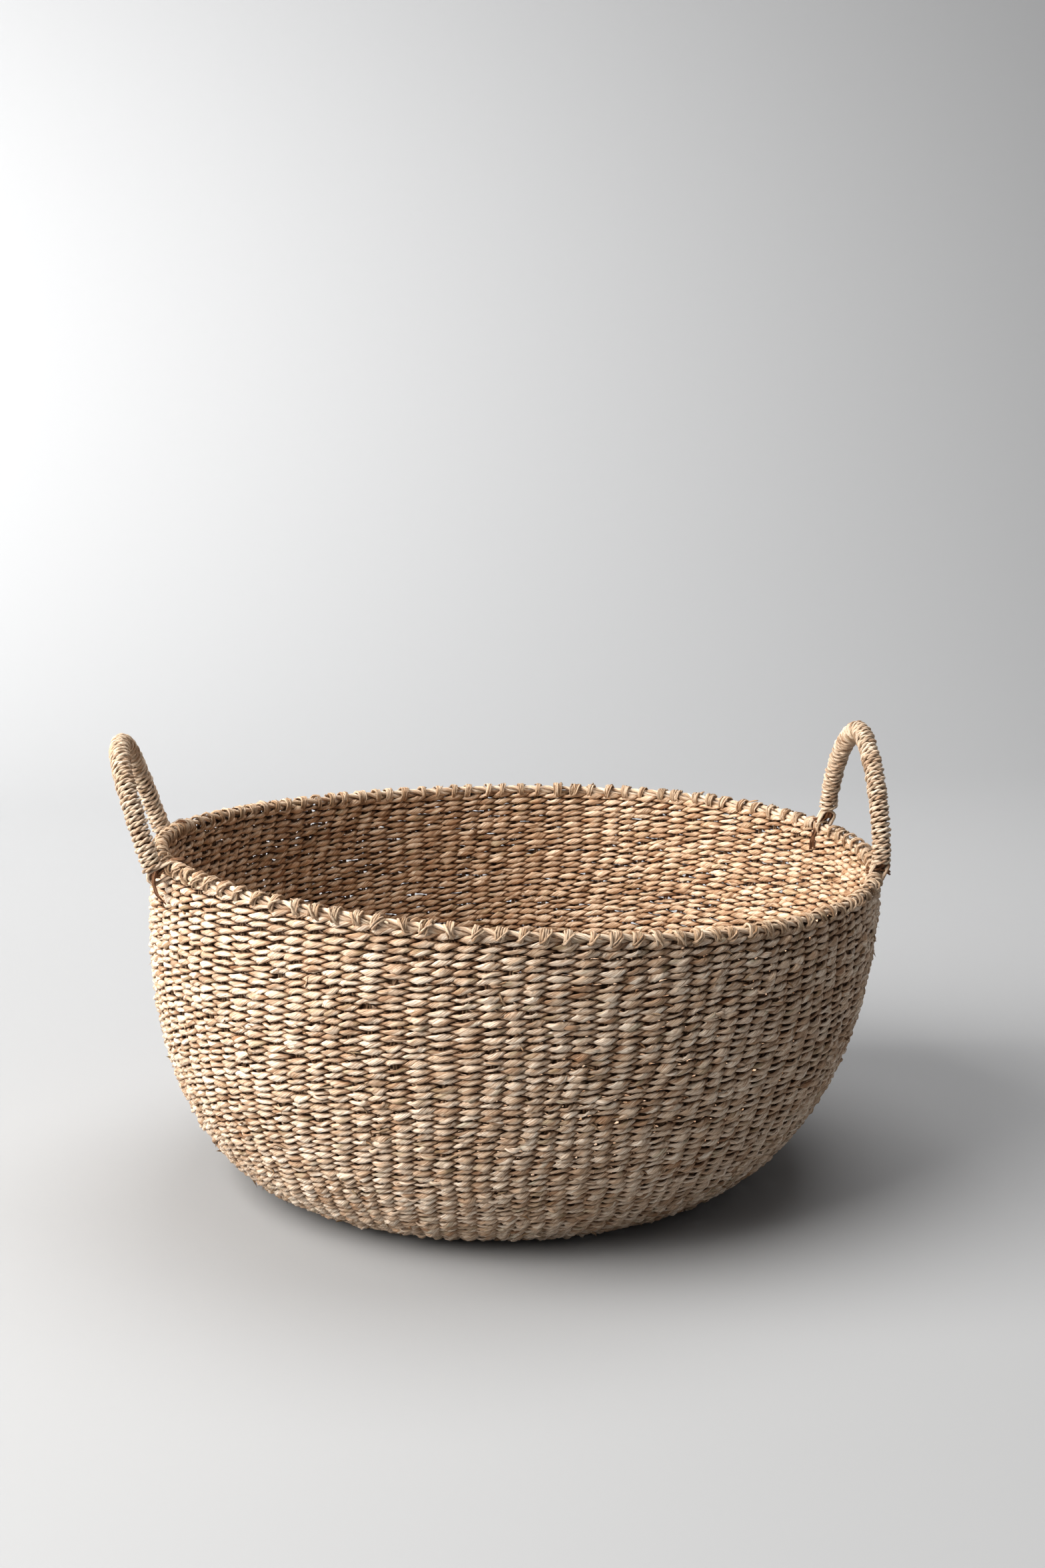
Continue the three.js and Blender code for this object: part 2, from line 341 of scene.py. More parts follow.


# %% [markdown]
# ## Seagrass
#
# Dried seagrass is a flat leaf folded and twisted into a cord. Its colour drifts along the leaf
# from cream to tan, with brown, rust or grey-green lengths. The folds are creases in the bump, with
# painted shade as dark lines along them at a slant, and finer fibres between them. All of it
# follows the strand, so the nodes read the strand's own UV map. The weave also gets painted shade
# towards its middle, in the gaps between the grains; a value stored on each point tells the nodes
# how deep it lies.


# %% Node helpers
class Nodes:
    """Short names for the few kinds of node that the materials are made of."""

    def __init__(self, name):
        self.material = bpy.data.materials.new(name)
        self.material.use_nodes = True
        self.tree = self.material.node_tree
        self.shader = self.tree.nodes["Principled BSDF"]

    def link(self, value, socket):
        if hasattr(value, "links"):
            self.tree.links.new(value, socket)
        else:
            socket.default_value = value

    def math(self, operation, *values):
        node = self.tree.nodes.new("ShaderNodeMath")
        node.operation = operation
        for socket, value in zip(node.inputs, values):
            self.link(value, socket)
        return node.outputs[0]

    def vector(self, x, y):
        node = self.tree.nodes.new("ShaderNodeCombineXYZ")
        self.link(x, node.inputs["X"])
        self.link(y, node.inputs["Y"])
        return node.outputs[0]

    def noise(self, x, y, detail=2.0, roughness=0.5):
        node = self.tree.nodes.new("ShaderNodeTexNoise")
        node.inputs["Scale"].default_value = 1.0
        node.inputs["Detail"].default_value = detail
        node.inputs["Roughness"].default_value = roughness
        self.link(self.vector(x, y), node.inputs["Vector"])
        return node.outputs["Fac"]

    def ramp(self, value, stops):
        node = self.tree.nodes.new("ShaderNodeValToRGB")
        while len(node.color_ramp.elements) < len(stops):
            node.color_ramp.elements.new(0.5)
        for element, (place, colour) in zip(node.color_ramp.elements, stops):
            element.position = place
            element.color = (*colour, 1)
        self.link(value, node.inputs["Fac"])
        return node.outputs["Color"]

    def mix(self, kind, factor, first, second):
        node = self.tree.nodes.new("ShaderNodeMix")
        node.data_type = "RGBA"
        node.blend_type = kind
        colours = [socket for socket in node.inputs if socket.type == "RGBA"]
        self.link(factor, node.inputs["Factor"])
        for socket, value in zip(colours, (first, second)):
            self.link(value if hasattr(value, "links") else (*value, 1), socket)
        return [socket for socket in node.outputs if socket.type == "RGBA"][0]


# %% [markdown]
# ## The leaf material
#
# One recipe makes every finish. It starts with the colour of the leaf, in drifts as long as a hand
# and patches as long as one grain. Then it multiplies in the slanted fibres, painted shade along
# the creases, and last painted shade by depth in the weave. The same fibres and creases drive the
# bump, so colour and relief agree.

# %% Seagrass material
WHITE = (1.0, 1.0, 1.0)


def seagrass(name, pale, tan, dark, folds=6, odd=0.4, shade_depth=None):
    """Leaf in three linear colours. folds: folds round the strand. odd: share of odd colours.

    shade_depth: how far out of the weave's middle the painted shade reaches before the leaf has its full
    colour, or None.
    """
    n = Nodes(name)
    split = n.tree.nodes.new("ShaderNodeSeparateXYZ")
    uv = n.tree.nodes.new("ShaderNodeUVMap")
    uv.uv_map = "UVMap"
    n.link(uv.outputs["UV"], split.inputs[0])
    u, v = split.outputs["X"], split.outputs["Y"]
    # The leaf: drifts of hand's breadth, and patches about as long as one grain.
    drift = n.noise(n.math("MULTIPLY", u, 14.0), n.math("MULTIPLY", v, 0.7), 3.0)
    leaf = n.ramp(drift, [(0.3, dark), (0.43, tan), (0.56, pale), (0.72, tan)])
    spot_u = n.math("MULTIPLY", u, 48.0)
    spot = n.noise(spot_u, n.math("MULTIPLY_ADD", v, 0.8, 31.0), 1.0)
    leaf = n.mix("MULTIPLY", 1.0, leaf, n.ramp(spot, [(0.32, (0.60, 0.52, 0.45)), (0.5, WHITE)]))
    rust = n.noise(spot_u, n.math("MULTIPLY_ADD", v, 0.8, 57.0), 1.0)
    rust_share = n.math("MULTIPLY", n.ramp(rust, [(0.6, (0, 0, 0)), (0.7, WHITE)]), odd)
    leaf = n.mix("MIX", rust_share, leaf, (0.50, 0.27, 0.12))
    green = n.noise(spot_u, n.math("MULTIPLY_ADD", v, 0.8, 83.0), 1.0)
    green_share = n.math("MULTIPLY", n.ramp(green, [(0.61, (0, 0, 0)), (0.7, WHITE)]), odd)
    leaf = n.mix("MIX", green_share, leaf, (0.36, 0.33, 0.20))
    # Fibres and folds: streaks at a slant, and creases that wander, darkened along their valleys with
    # painted shade.
    across = n.math("MULTIPLY_ADD", v, 16.0, n.math("MULTIPLY", u, 240.0))
    streak = n.noise(n.math("MULTIPLY", u, 60.0), across, 4.0, 0.62)
    wander = n.noise(n.math("MULTIPLY", u, 90.0), n.math("MULTIPLY", v, 4.0), 2.0)
    phase = n.math("MULTIPLY_ADD", v, float(folds), n.math("MULTIPLY", u, 60.0))
    phase = n.math("MULTIPLY_ADD", wander, 4.5, phase)
    crease = n.math("ABSOLUTE", n.math("SINE", n.math("MULTIPLY", phase, math.pi)))
    crease_shade = n.ramp(crease, [(0.0, (0.38, 0.26, 0.18)), (0.3, (0.84, 0.79, 0.74)), (0.7, WHITE)])
    fibre = n.ramp(streak, [(0.3, (0.34, 0.22, 0.14)), (0.43, (0.78, 0.68, 0.60)), (0.56, WHITE)])
    colour = n.mix("MULTIPLY", 0.4, n.mix("MULTIPLY", 0.95, leaf, fibre), crease_shade)
    # Painted shade: the colour darkens towards the middle of the weave, where the gaps between the
    # grains lie in shade. On the inside face of the wall it is also multiplied by a warm tint.
    if shade_depth:
        out = n.tree.nodes.new("ShaderNodeAttribute")
        out.attribute_name = "out"
        share = n.math("DIVIDE", n.math("ABSOLUTE", out.outputs["Fac"]), shade_depth)
        inside = n.math("MULTIPLY", n.math("LESS_THAN", out.outputs["Fac"], 0.0), 0.4)
        colour = n.mix("MULTIPLY", inside, colour, (1.0, 0.88, 0.74))
        stops = [(0.15, (0.13, 0.08, 0.05)), (0.6, (0.70, 0.59, 0.49)), (0.95, WHITE)]
        colour = n.mix("MULTIPLY", 1.0, colour, n.ramp(share, stops))
    n.link(colour, n.shader.inputs["Base Color"])
    n.link(n.math("MULTIPLY_ADD", streak, -0.35, 0.78), n.shader.inputs["Roughness"])
    n.shader.inputs["Specular IOR Level"].default_value = 0.35
    relief = n.tree.nodes.new("ShaderNodeBump")
    relief.inputs["Strength"].default_value = 0.75
    relief.inputs["Distance"].default_value = 0.9 * MM
    height = n.math("MULTIPLY_ADD", n.math("MINIMUM", crease, 0.6), 0.45, streak)
    n.link(height, relief.inputs["Height"])
    n.link(relief.outputs["Normal"], n.shader.inputs["Normal"])
    return n.material


CREAM = (0.90, 0.80, 0.68)
TAN = (0.71, 0.56, 0.42)
BROWN = (0.44, 0.28, 0.17)
# How far out of the weave's middle the painted shade reaches.
PAINTED_SHADE_DEPTH = 2.9 * MM
weft_finish = seagrass("weft_finish", CREAM, TAN, BROWN, shade_depth=PAINTED_SHADE_DEPTH)
tip_finish = seagrass("tip_finish", (0.72, 0.57, 0.40), (0.55, 0.37, 0.22), (0.34, 0.19, 0.09), 2, 0.6)
print("full colour of the weave at mm:", round(PAINTED_SHADE_DEPTH / MM, 1))
# The stakes' brown is darker than the leaf's own, as painted shade for the gaps where they show.
stake_leaf_and_shade = seagrass("stake_leaf_and_shade", (0.40, 0.28, 0.18), (0.28, 0.18, 0.11), (0.16, 0.09, 0.05), 4)
rope_finish = seagrass("rope_finish", (0.88, 0.77, 0.63), (0.74, 0.60, 0.46), (0.50, 0.35, 0.24), 6, 0.2)
knot_finish = seagrass("knot_finish", (0.76, 0.63, 0.49), (0.62, 0.47, 0.33), (0.40, 0.26, 0.15), 4, 0.3)
cord_finish = seagrass("cord_finish", (0.84, 0.74, 0.61), (0.70, 0.57, 0.44), (0.50, 0.36, 0.25), 4, 0.3)
core_finish = seagrass("core_finish", (0.36, 0.20, 0.11), (0.23, 0.12, 0.06), (0.12, 0.06, 0.03), 5, 0.2)

# %% [markdown]
# ## Twining
#
# Twining uses two weft cords. At each stake one passes outside and the other inside, and between
# two stakes they cross. Seen along the row, each cord circles the row's middle once in two stakes:
# it is out at one stake, up at the crossing, in at the next. A leaf cord is flatter than it is
# wide, and lies with its flat side on the stake, so its section turns as it circles. That is what
# gives each grain its pointed ends. Random swellings and shifts, one for each grain, longer
# ripples along the rows, and a few spots where two rows part take away the machine look.

# %% Twined rows
COURSES = 54
STAKES = 108
BANDS = 6
ROWS_IN_BAND = COURSES // BANDS
COURSE = WALL_LENGTH / COURSES
CIRCLE_OUT = 2.75 * MM  # how far a weft cord swings to each side of the stakes
CIRCLE_UP = 1.3 * MM
WEFT_OUTLINE = [
    (1.25, 0.2), (1.35, -1.1), (0.3, -2.3), (-0.9, -1.8),
    (-1.25, -0.3), (-1.2, 0.95), (-0.5, 2.25), (0.9, 1.6),
]
weft_section = section("weft_section", WEFT_OUTLINE)
print("one row is mm high:", round(COURSE / MM, 2))

# %% [markdown]
# ### Unevenness
#
# Nobody twines two rows alike. Here and there two rows part and leave a hole, and the upright
# columns of stakes wander sideways as the wall grows. Both are smooth functions of the place on
# the wall, so neighbouring rows share them.

# %% Partings and drift
PARTING_COUNT = 150
PARTING_REACH = 0.38  # in spaces between two stakes
PARTING_ROWS = 1.3  # rows over which a parting dies away
parting_source = np.random.default_rng(17)
PARTINGS = np.c_[
    parting_source.uniform(0, 2 * math.pi, PARTING_COUNT),
    parting_source.integers(4, COURSES - 1, PARTING_COUNT),
    parting_source.uniform(0.5, 1.2, PARTING_COUNT),
]


def parted(angle, row):
    """Millimetres that a row is pushed up or down by the spots where two rows part."""
    total = np.zeros(len(angle))
    for spot, between, size in PARTINGS[np.abs(PARTINGS[:, 1] - 0.5 - row) < 4]:
        away = np.angle(np.exp(1j * (angle - spot))) * STAKES / (2 * math.pi)
        above = row - between + 0.5
        push = math.copysign(size, above) * math.exp(-abs(above) / PARTING_ROWS)
        total += push * np.exp(-((away / PARTING_REACH) ** 2))
    return total


def drifted(angle, row):
    """How far the stakes have drifted sideways, as a share of the space between two stakes."""
    slow = ripple(angle, row * 0.5, 6, 11, 14) * 0.2 + ripple(angle, row * 0.2, 4, 12, 6) * 0.3
    return slow + ripple(angle, row * 2.3, 6, 16, 50) * 0.09


print("rows part at spots:", PARTING_COUNT)

# %% [markdown]
# ### One row
#
# A row is two closed strands that wind round each other. Each grain gets its own shift, swelling
# and twist, faded in and out over the grain so that the strand stays smooth. Near the floor the
# strands lie flat and even, and the last rows under the rope close up to it.

# %% A twined row
FULL_PITCH = 14.5 * MM  # stakes this far apart get all the unevenness
OFF_FLOOR = 5 * MM


def twined_row(run, stakes, steps, row, source):
    """The two weft paths of one row of twining, as closed strands."""
    place = np.arange(stakes * steps) / steps
    nearest = np.round(place).astype(int) % stakes
    on_stake = np.cos(math.pi * (place - np.round(place))) ** 2
    angle = 2 * math.pi * place / stakes
    pitch = 2 * math.pi * on_form(np.array(run), 0)[0] / stakes
    calm = min(1.0, pitch / FULL_PITCH)
    lift = ripple(angle, row * 0.8, 6, 13, 16) * 0.8 + ripple(angle, row * 9.1, 6, 14, 50) * 0.38
    lift = (lift + parted(angle, row)) * MM * calm
    rows_below_rope = COURSES - 1 - row
    if rows_below_rope < 3:
        lift = 0.4 * lift + (0.9 - 0.3 * rows_below_rope) * MM
    paths = []
    for cord in (0, 1):
        turn = math.pi * (place + cord)

        def each_grain(spread):
            return source.normal(0, spread, stakes)[nearest] * on_stake

        out = CIRCLE_OUT * np.cos(turn) + each_grain(0.4 * MM)
        up = CIRCLE_UP * np.sin(turn) + each_grain(0.55 * MM) * calm + lift
        radius, height, slope = on_form(run + up, out)
        aside = drifted(angle, row) * pitch + each_grain(0.9 * MM) * calm
        points = settle(radius, angle + aside / radius, height)
        off_floor = np.clip((height - FLOOR_GAP) / OFF_FLOOR, 0, 1)
        tilt = -(slope - math.pi / 2 + turn) + each_grain(0.45) * off_floor
        uneven = each_grain(0.19) + 0.1 * ripple(angle, row * 5.3 + cord * 40, 5, 15, 50)
        girth = 1.05 + uneven * off_floor
        paths.append((points, girth, tilt))
    return paths


# %% [markdown]
# ### Lumps in the leaf
#
# The 54 rows are made in six bands of nine, one for each band of the frame, to keep each mesh to a
# size that is easy to work with. A Displace modifier with a cloud texture adds the lumps of the
# leaf itself. It is applied straight away, so the stored depth is that of the finished surface.

# %% Lumps
def roughen(obj, size, strength):
    """Lumps of the leaf itself, pushed into the mesh."""
    lumps = bpy.data.textures.new(obj.name + "_lumps", "CLOUDS")
    lumps.noise_scale = size
    lumps.noise_depth = 1
    push = obj.modifiers.new("lumps", "DISPLACE")
    push.texture = lumps
    push.texture_coords = "LOCAL"
    push.strength = strength
    push.mid_level = 0.5
    graph = bpy.context.evaluated_depsgraph_get()
    mesh = bpy.data.meshes.new_from_object(obj.evaluated_get(graph))
    obj.modifiers.clear()
    old = obj.data
    obj.data = mesh
    bpy.data.meshes.remove(old)
    bpy.data.textures.remove(lumps)


# %% [markdown]
# ### All the rows of the wall
#
# One row after another is worked out, band by band, with a single source of chance for them all.

# %% The wall
LUMP_SIZE = 3.5 * MM
LUMP_HEIGHT = 0.9 * MM
STEPS_TO_A_STAKE = 6
wall_source = np.random.default_rng(21)
for band in range(BANDS):
    paths = []
    for row in range(band * ROWS_IN_BAND, (band + 1) * ROWS_IN_BAND):
        run = BASE_RADIUS + (row + 0.5) * COURSE
        paths += twined_row(run, STAKES, STEPS_TO_A_STAKE, row, wall_source)
    name = "wall_weft_%d" % (band + 1)
    weft = strands("twined_" + name, weft_section, paths, closed=True)
    roughen(weft, LUMP_SIZE, LUMP_HEIGHT)
    mark_depth(weft.data)
    finish_piece(weft, "basket", weft_finish, [name])

# %% [markdown]
# ## The base
#
# The base is twined like the wall, outwards from where the stakes cross. Near the middle there is
# only room for a few stakes, so they are worked in bundles and opened out as the rounds grow.

# %% Base rounds
BASE_COURSE = 5 * MM
ZONES = [  # node, inner and outer radius, stakes, steps to a stake
    ("base_start", 2 * MM, 12 * MM, 8, 6),
    ("base_start", 12 * MM, 30 * MM, 18, 5),
    ("base_weft_inner", 30 * MM, 60 * MM, 36, 4),
    ("base_weft_inner", 60 * MM, 90 * MM, 72, 4),
    ("base_weft_outer", 90 * MM, 110 * MM, 72, 4),
    ("base_weft_outer", 110 * MM, 150 * MM, 108, 4),
]
base_source = np.random.default_rng(22)
base_paths = {}
for node, inner, outer, stakes, steps in ZONES:
    rounds = round((outer - inner) / BASE_COURSE)
    for i in range(rounds):
        run = inner + (i + 0.5) * (outer - inner) / rounds
        row = (run - BASE_RADIUS) / BASE_COURSE
        base_paths.setdefault(node, [])
        base_paths[node] += twined_row(run, stakes, steps, row, base_source)
for node, paths in base_paths.items():
    rounds_piece = strands("twined_" + node, weft_section, paths, closed=True)
    mark_depth(rounds_piece.data)
    finish_piece(rounds_piece, "basket", weft_finish, [node])

# %% [markdown]
# ## Stakes
#
# The stakes hardly show, only as a dark bar in a gap between two rows; their brown is made darker
# than the leaf's own, as painted shade in those gaps. Each is a bundle of two or three thin leaves
# that wind loosely round each other, from the base up to the rope.

# %% Stakes
LEAF_STEP = 6 * MM
stake_section = round_section("stake_section", 0.8, 5)


def stake_paths(stakes, start, stop, leaves):
    paths = []
    steps = max(3, round((stop - start) / LEAF_STEP))
    run = np.linspace(start, stop, steps + 1)
    row = (run - BASE_RADIUS) / COURSE
    for stake in range(stakes):
        angle = 2 * math.pi * stake / stakes
        for leaf in range(leaves):
            swing = row * 0.7 + stake * 2.3 + leaf * 2 * math.pi / leaves
            radius, height, _ = on_form(run, 0.45 * MM * np.cos(swing))
            pitch = 2 * math.pi * radius / stakes
            beside = 1.25 * MM * np.sin(swing) * (1 + 0.15 * np.sin(row + stake))
            turned = angle + drifted(angle, row) * pitch / radius + beside / radius
            paths.append((settle(radius, turned, height), 1.0, 0.0))
    return paths


all_stakes = (
    stake_paths(8, 0.5 * MM, 14 * MM, 2)
    + stake_paths(18, 10 * MM, 32 * MM, 2)
    + stake_paths(36, 28 * MM, 62 * MM, 2)
    + stake_paths(72, 58 * MM, 112 * MM, 2)
    + stake_paths(STAKES, 108 * MM, FULL_RUN + 1 * MM, 3)
)
stakes_piece = strands("stakes", stake_section, all_stakes, closed=False, twist="MINIMUM")
finish_piece(stakes_piece, "basket", stake_leaf_and_shade)

# %% [markdown]
# ## The rim
#
# A two-ply rope lies along the top of the wall. Its plies are two closed strands, each on a helix
# round the rope's middle, with half a turn for each stake so that it meets the knots evenly.

# %% Rim rope
PLY_OUTLINE = [
    (1.8, 0), (1.45, -1.25), (0.1, -1.85), (-1.35, -1.2),
    (-1.7, 0.15), (-1.25, 1.35), (0.15, 1.85), (1.4, 1.2),
]
ROPE_SWING = 1.65 * MM  # from the rope's middle to the middle of a ply
ply_section = section("ply_section", PLY_OUTLINE)


def rope_point(angle, out, up):
    """A point beside the rope's middle, this far out and up from it, on the round form."""
    return settle(RIM_RADIUS + out, angle, ROPE_CENTRE + up)


def rope_plies():
    place = np.arange(STAKES * STEPS_TO_A_STAKE) / STEPS_TO_A_STAKE
    angle = 2 * math.pi * place / STAKES
    paths = []
    for ply in (0, 1):
        turn = -math.pi * (place + ply)
        out = ROPE_SWING * np.cos(turn)
        up = ROPE_SWING * np.sin(turn) + (0.3 * ripple(angle, 0, 6, 31, 20) - 0.5) * MM
        girth = 0.9 + 0.1 * ripple(angle, ply * 9.0, 6, 32, 60)
        paths.append((rope_point(angle, out, up), girth, -turn))
    return paths


rope = strands("rim_rope_plies", ply_section, rope_plies(), closed=True)
finish_piece(rope, "basket", rope_finish, ["rim_rope"])

# %% [markdown]
# ## Knots
#
# Each stake's end is split into a few thin leaves. They go over the rope and are drawn in under it
# again, with a leaf or two laid across them, which makes a small knot at every stake. One line
# round the rope's section serves for all the leaves, and chance widens, shifts and fans it out.

# %% Knots
LEAF_OUTLINE = [(1.0, 0), (0.35, -0.62), (-0.6, -0.5), (-0.9, 0.1), (-0.4, 0.62), (0.5, 0.5)]
knot_section = section("knot_section", LEAF_OUTLINE)
KNOT_LINE = np.array([
    (2.2, -5.0), (4.0, -3.6), (4.9, -1.2), (4.2, 2.0), (1.9, 4.0),
    (-1.4, 4.1), (-4.2, 2.2), (-4.9, -1.0), (-4.0, -3.8), (-2.2, -5.2),
])
TIE_LINE = np.array([(3.4, -3.4), (5.4, -2.6), (6.2, -0.8), (5.9, 1.0), (4.6, 2.4), (2.4, 3.2)])


def knots():
    """The leaves of all the knots, over the rope, and the ties across them."""
    source = np.random.default_rng(33)
    paths = []
    for stake in range(STAKES):
        middle = 2 * math.pi * stake / STAKES + source.normal(0, 1.2 * MM) / RIM_RADIUS
        count = source.integers(3, 6)
        hand = source.choice([-1, 1])
        size = source.uniform(0.86, 1.04)
        fan = source.uniform(0.8, 1.3)
        share = np.linspace(-1, 1, len(KNOT_LINE))
        for k in range(count):
            aside = (k - (count - 1) / 2) * 1.3 * fan
            narrow = 0.45 + 0.55 * np.cos(share * 1.35)
            across = aside * narrow + hand * 1.6 * share + source.normal(0, 0.2, len(share))
            out, up = (KNOT_LINE * size + source.normal(0, 0.28, KNOT_LINE.shape)).T * MM
            points = rope_point(middle + across * MM / RIM_RADIUS, out, up)
            paths.append((points, source.uniform(0.7, 1.15), hand * share * 1.5 + k))
        for tie in range(source.integers(1, 3)):
            share = np.linspace(-1, 1, len(TIE_LINE))
            across = hand * share * 3.6 + tie * 1.2
            out, up = (TIE_LINE + source.normal(0, 0.25, TIE_LINE.shape) - [0, tie * 1.3]).T * MM
            points = rope_point(middle + across * MM / RIM_RADIUS, out, up)
            paths.append((points, source.uniform(0.75, 1.1), share * 2))
    return paths


# %% [markdown]
# ### Standing ends
#
# Some leaves are cut off just past the knot, and their ends stand out a few millimetres.

# %% Standing ends
def standing_ends():
    """Short cut ends that stick out of the knots, to the outside and upwards."""
    source = np.random.default_rng(34)
    t = np.linspace(0, 1, 6)
    paths = []
    for stake in range(STAKES):
        for _ in range(source.integers(0, 3)):
            middle = 2 * math.pi * stake / STAKES
            across = source.normal(0, 2.0) + source.normal(0, 3.0) * t
            toward = source.uniform(-0.5, 2.6)
            length = source.uniform(2.0, 4.5)
            out = (2.5 * math.cos(toward) + t * length * math.cos(toward)) * MM
            up = (2.6 * math.sin(toward) + t * length * math.sin(toward) - 1.2 * t**2) * MM
            points = rope_point(middle + across * MM / RIM_RADIUS, out, up)
            paths.append((points, source.uniform(0.6, 1.0) * (1.0 - 0.4 * t), t * 2))
    return paths


rim_ties = knots() + standing_ends()
knots_piece = strands("rim_knots", knot_section, rim_ties, closed=False, twist="MINIMUM")
finish_piece(knots_piece, "basket", knot_finish)

# %% [markdown]
# ## Handles
#
# Each handle is an arch of bundled leaf that stands on the rope. The arch is two smooth Bezier
# curves, mirrored, in a plane that leans on the line through its feet. The two handles differ:
# each has its own height, lean, foot and crown. A small class keeps an arch's line and its axes,
# and gives points round it for everything that is laid along or wound round the handle.

# %% Handle lines
FOOT_SPREAD = math.radians(17)
HANDLES = [
    dict(
        side="right", at=0.0, height=88.5, lean=1.5, stand_off=4, foot=6,
        bow=45, splay=-3.5, crown=26, bare=(1.0, 9),
    ),
    dict(
        side="left", at=math.pi, height=79, lean=17.5, stand_off=14, foot=-4,
        bow=60, splay=-3, crown=50, bare=(8, 7),
    ),
]  # angles in degrees and lengths in millimetres, but at, the place on the rim, is in radians
WRAP_RADIUS = 7 * MM


class Arch:
    """The line of a handle's core, with its moving frame."""

    def __init__(self, handle):
        front = rope_point(handle["at"] - FOOT_SPREAD, 0, 0)
        rear = rope_point(handle["at"] + FOOT_SPREAD, 0, 0)
        self.middle = (front + rear) / 2
        self.half = np.linalg.norm(rear - front) / 2
        self.along = (rear - front) / (2 * self.half)
        out = np.cross(self.along, [0, 0, 1])
        out /= np.linalg.norm(out)
        up = np.cross(out, self.along)
        lean = math.radians(handle["lean"])
        self.out = out * math.cos(lean) - up * math.sin(lean)
        self.up = up * math.cos(lean) + out * math.sin(lean)
        self.handle = handle
        self.line = self.arch_line()
        step = np.linalg.norm(np.diff(self.line, axis=0), axis=1)
        self.run = np.r_[0, np.cumsum(step)]
        self.length = self.run[-1]

    def place(self, out, along, up):
        """Points in the handle's own leaned frame, in metres from the middle of its feet."""
        spots = np.stack(np.broadcast_arrays(out, along, up), axis=-1)
        return self.middle + spots @ np.stack([self.out, self.along, self.up])

    def arch_line(self):
        h = self.handle
        splay = math.radians(h["splay"])
        bow = h["bow"] * MM
        foot = np.array([self.half, h["foot"] * MM])
        leg = foot + [bow * math.sin(splay), bow * math.cos(splay)]
        shoulder = np.array([h["crown"] * MM, h["height"] * MM])
        top = np.array([0, h["height"] * MM])
        half = bezier(foot, leg, shoulder, top, 80)
        outline = np.vstack([half * [-1, 1], half[::-1][1:]])
        return self.place(h["stand_off"] * MM, outline[:, 0], outline[:, 1])

    def around(self, run, radius, turn):
        """Points round the arch at a distance along it: turn 0 is out of the basket."""
        slopes = np.gradient(self.line, self.run, axis=0)
        middle = np.stack([np.interp(run, self.run, self.line[:, k]) for k in range(3)], axis=-1)
        slope = np.stack([np.interp(run, self.run, slopes[:, k]) for k in range(3)], axis=-1)
        slope /= np.linalg.norm(slope, axis=-1, keepdims=True)
        side = np.cross(slope, self.out)
        radius = np.broadcast_to(radius, np.shape(turn))[..., None]
        return middle + radius * (np.cos(turn)[..., None] * self.out + np.sin(turn)[..., None] * side)


arches = {h["side"]: Arch(h) for h in HANDLES}
for side, arch in arches.items():
    print(side, "handle length mm:", round(arch.length / MM))

# %% [markdown]
# ## Wrapping cord
#
# A fine two-ply cord is wound round the arch, turn against turn. The winding is a helix round the
# arch, and each ply is a smaller helix round the winding. The turns bunch up here and there and
# lie a little higher or lower, as they do when a hand winds them.

# %% Wrapping cord
CORD_PITCH = 3.7 * MM
CORD_RADIUS = 1.7 * MM
LAY_RADIUS = WRAP_RADIUS - CORD_RADIUS
PLY_SWING = 0.8 * MM
PLY_LAY = 12.5 * MM  # length of cord in one turn of its plies
STEPS_TO_A_TURN = 34
LUMP_COUNT = 700
CORD_OUTLINE = [(1.2, 0), (0.6, -1.1), (-0.55, -1.05), (-1.1, 0), (-0.6, 1.05), (0.55, 1.1)]
cord_section = section("cord_section", CORD_OUTLINE)


def wrapping(arch, seed):
    """The two plies of the cord that is wound round a handle."""
    source = np.random.default_rng(seed)
    bare_front, bare_rear = arch.handle["bare"]
    start, stop = bare_front * MM, arch.length - bare_rear * MM
    turns = (stop - start) / CORD_PITCH
    steps = int(turns * STEPS_TO_A_TURN)
    place = np.linspace(0, 1, steps)
    run = start + place * (stop - start)
    turn = 2 * math.pi * turns * place
    bunch = 0.5 * MM * np.sin(run / (7 * MM) + 1.3 * np.sin(run / (19 * MM)))
    lay = LAY_RADIUS + 0.35 * MM * np.sin(turn * 0.37 + 2 * np.sin(turn * 0.11))
    ply_turn = turn * LAY_RADIUS / PLY_LAY * 2 * math.pi
    ply_turn = ply_turn + 0.6 * np.sin(turn * 0.23)
    paths = []
    for ply in (0, 1):
        swing = ply_turn + math.pi * ply
        radius = lay + PLY_SWING * np.cos(swing)
        shifted = run + bunch + PLY_SWING * np.sin(swing)
        lump_turns = np.linspace(0, turn[-1], LUMP_COUNT)
        lumps = np.interp(turn, lump_turns, source.normal(0, 0.1, LUMP_COUNT))
        paths.append((arch.around(shifted, radius, turn), 0.88 + lumps, swing))
    return paths


for side, arch in arches.items():
    plies = wrapping(arch, 41)
    wrap = strands(side + "_wrapping_cord", cord_section, plies, closed=False, twist="MINIMUM")
    finish_piece(wrap, side + "_handle", cord_finish, [side + "_handle_wrap"])

# %% [markdown]
# ## Handle cores and hitches
#
# The core is a bundle of brown leaf. Below the wrapping it shows for a finger's breadth. It is
# held by a hitch, a few turns of cord that go round the rope and round the core, and its own
# leaves are folded over the rope. All of that swings with the handle, so it is laid round the
# rope's middle, which is the hinge, and keeps clear of the rope itself.

